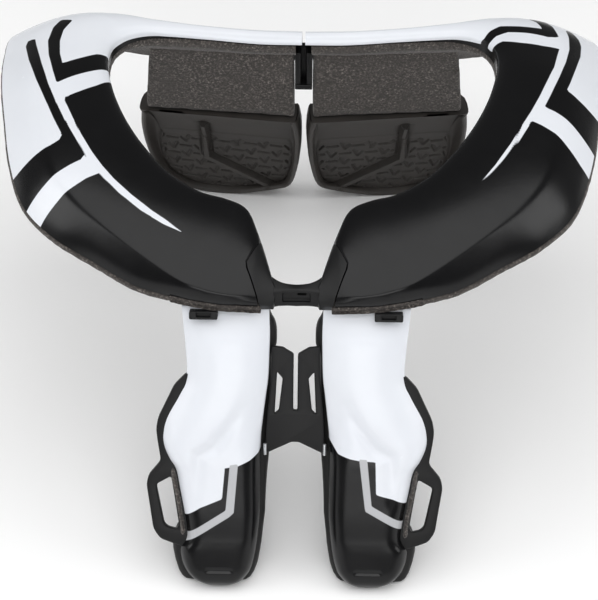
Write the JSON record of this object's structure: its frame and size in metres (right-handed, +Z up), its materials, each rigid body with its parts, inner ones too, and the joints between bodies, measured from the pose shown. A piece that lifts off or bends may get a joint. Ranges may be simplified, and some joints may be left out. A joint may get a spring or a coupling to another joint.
{
  "type": "motocross neck brace",
  "caption": "Rigid two-half neck brace for riding: a padded collar over the shoulders, splayed chest plates on a sprung link, and dished rear pads hung from felt panels.",
  "frame": {"origin": "middle of the footprint, on the surface the brace stands on", "axes": "+X to the wearer's left, shoulder to shoulder; +Y from the chest plates to the rear pads; +Z up"},
  "size_m": [0.2848, 0.2812, 0.1464],
  "materials": {
    "shell": "gloss moulded shell, black with white stripes",
    "cover": "gloss moulded cover, white over black",
    "nylon": "satin moulded nylon",
    "felt": "speckled felt over soft padding",
    "foam": "moulded foam, matte"
  },
  "bodies": {
    "root": {"collar_shell_right": "shell", "collar_shell_left": "shell", "collar_liner_right": "felt", "collar_liner_left": "felt", "collar_end_cap_right": "nylon", "collar_end_cap_left": "nylon", "chest_cover_right": "cover", "chest_cover_left": "cover", "chest_pad_right": "foam", "chest_pad_left": "foam", "strap_frame_right": "nylon", "strap_frame_left": "nylon", "adjuster_socket_right": "nylon", "adjuster_socket_left": "nylon", "rear_riser_right": "felt", "rear_riser_left": "felt", "rear_pad_right": "foam", "rear_pad_left": "foam", "front_bridge": "nylon", "chest_link": "nylon", "rear_closure": "nylon"}
  },
  "joints": []
}
